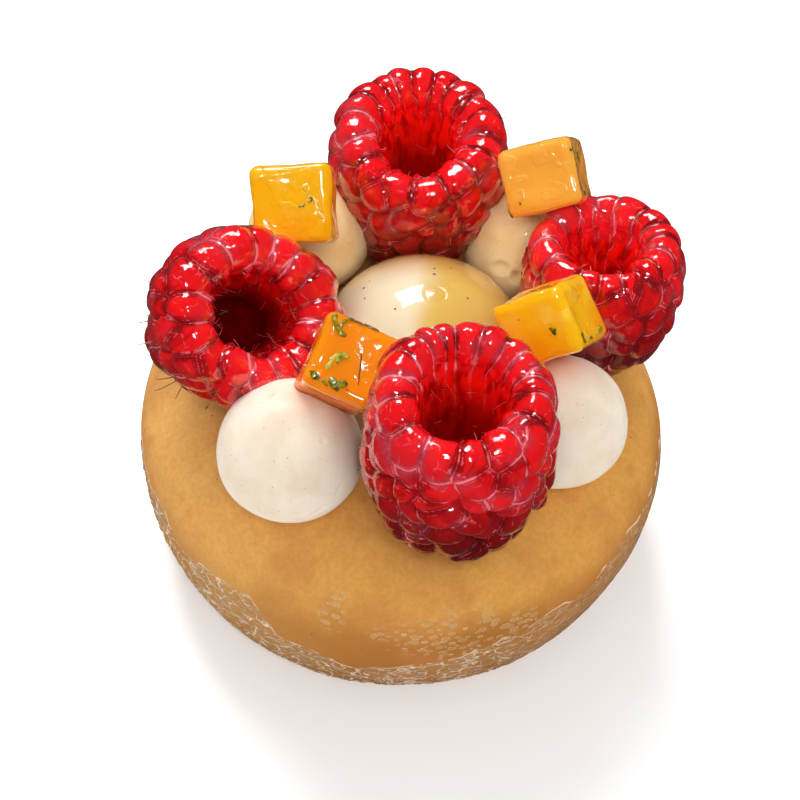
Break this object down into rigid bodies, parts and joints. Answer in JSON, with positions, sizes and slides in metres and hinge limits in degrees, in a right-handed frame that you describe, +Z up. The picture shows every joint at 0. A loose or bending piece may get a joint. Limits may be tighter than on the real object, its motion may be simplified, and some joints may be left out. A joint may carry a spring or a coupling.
{
  "type": "dulce de leche cheesecake",
  "caption": "Small round caramel cheesecake with swelling glazed sides, topped by a ring of hollow raspberries, piped cream balls and mango cubes round a smooth glazed dome",
  "frame": {"origin": "middle of the cake's flat base", "axes": "+Z up, -Y towards the side seen first, which has one raspberry in its middle, +X to the right from there"},
  "size_m": [0.0676, 0.0682, 0.0559],
  "materials": {
    "caramel": "satin caramel glaze, slightly wrinkled near the base",
    "glaze": "smooth and glossy, ivory",
    "raspberry": "glossy, glazed, slightly see-through",
    "mango": "wet, glazed, slightly see-through",
    "cream": "silky matt"
  },
  "bodies": {
    "root": {"cheesecake": "caramel", "dome": "glaze", "raspberry_front": "raspberry", "raspberry_right": "raspberry", "raspberry_back": "raspberry", "raspberry_left": "raspberry", "mango_front_left": "mango", "mango_front_right": "mango", "mango_back_right": "mango", "mango_back_left": "mango", "cream_front_left": "cream", "cream_front_right": "cream", "cream_back_right": "cream", "cream_back_left": "cream"}
  },
  "joints": []
}
